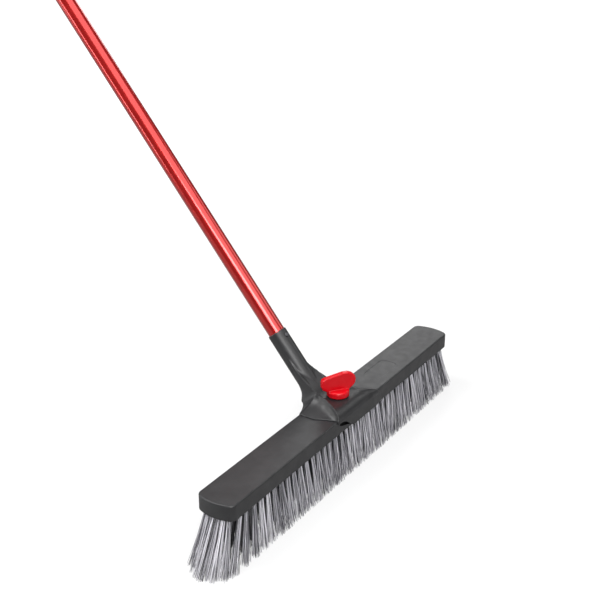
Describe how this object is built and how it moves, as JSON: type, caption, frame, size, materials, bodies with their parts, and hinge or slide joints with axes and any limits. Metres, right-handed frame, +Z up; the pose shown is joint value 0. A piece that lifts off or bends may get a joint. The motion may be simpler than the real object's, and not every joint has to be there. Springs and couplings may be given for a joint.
{
  "type": "push broom",
  "caption": "Push broom with a long bristle block, a clamp-on bracket held by a wing knob, and a tubular handle that leans back for sweeping floors.",
  "frame": {"origin": "on the floor, in the plane of the bristle tips, under the middle of the block", "axes": "+X along the block, +Y towards the side that the handle leans to, +Z up from the floor"},
  "size_m": [0.67, 1.1009, 1.3258],
  "materials": {
    "block_plastic": "fine satin texture, dark charcoal",
    "bracket_plastic": "satin, near black",
    "bristle_fibre": "fine pale fibres with a slight sheen",
    "handle_coating": "glossy red powder coat on steel tube",
    "knob_plastic": "glossy saturated red",
    "zinc_steel": "zinc-plated",
    "rivet_steel": "blackened",
    "insert_brass": "turned",
    "plug_plastic": "moulded",
    "cap_plastic": "satin, near black"
  },
  "bodies": {
    "broom": {"block": "block_plastic", "threaded_insert": "insert_brass", "bracket": "bracket_plastic", "handle_tube": "handle_coating", "handle_foot_plug": "plug_plastic", "socket_rivet": "rivet_steel", "hang_cap": "cap_plastic", "bristle_row_front": "bristle_fibre", "bristle_row_front_middle": "bristle_fibre", "bristle_row_rear_middle": "bristle_fibre", "bristle_row_rear": "bristle_fibre", "bristle_end_left": "bristle_fibre", "bristle_end_right": "bristle_fibre"},
    "washer": {"bolt_washer": "zinc_steel"},
    "knob": {"clamp_knob": "knob_plastic", "clamp_bolt": "zinc_steel"}
  },
  "joints": [
    {"name": "knob_rise", "type": "slide", "parent": "broom", "child": "washer", "axis": [0, 0, 1], "range_m": [0, 0.01411]},
    {"name": "knob_turn", "type": "hinge", "parent": "washer", "child": "knob", "pos_m": [0, 0, 0.112], "axis": [0, 0, 1], "range_deg": [0, 3600]}
  ],
  "couplings": [
    {"joint": "knob_turn", "follows": "knob_rise", "rad_per_m": 4452.7}
  ]
}
